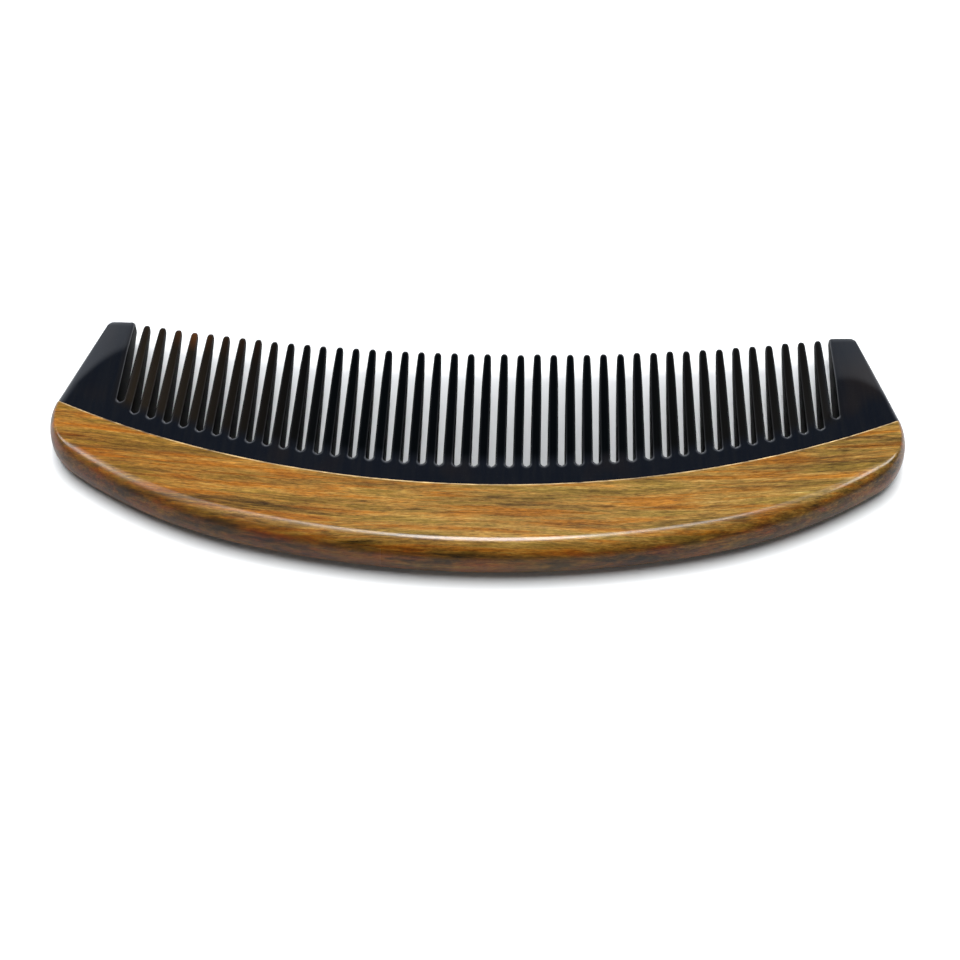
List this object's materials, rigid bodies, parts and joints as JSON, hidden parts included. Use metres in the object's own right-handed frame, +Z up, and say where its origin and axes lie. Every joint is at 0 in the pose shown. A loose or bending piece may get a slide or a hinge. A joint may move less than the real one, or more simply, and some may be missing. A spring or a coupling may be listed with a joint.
{
  "type": "beard comb",
  "caption": "Crescent comb: a rounded sandalwood handle glued to a black horn plate with fine tapered teeth between two end guards.",
  "frame": {"origin": "centre of the footprint, on the surface that the comb lies on", "axes": "+X along the comb's length, +Y from the handle's back towards the teeth, +Z up through its thickness"},
  "size_m": [0.1714, 0.0624, 0.0082],
  "materials": {
    "sandalwood": "polished green sandalwood, fine grain along the length",
    "horn": "polished black buffalo horn",
    "glue": "thin cream glue line"
  },
  "bodies": {
    "root": {"handle": "sandalwood", "blade": "horn", "teeth": "horn", "glue_film": "glue"}
  },
  "joints": []
}
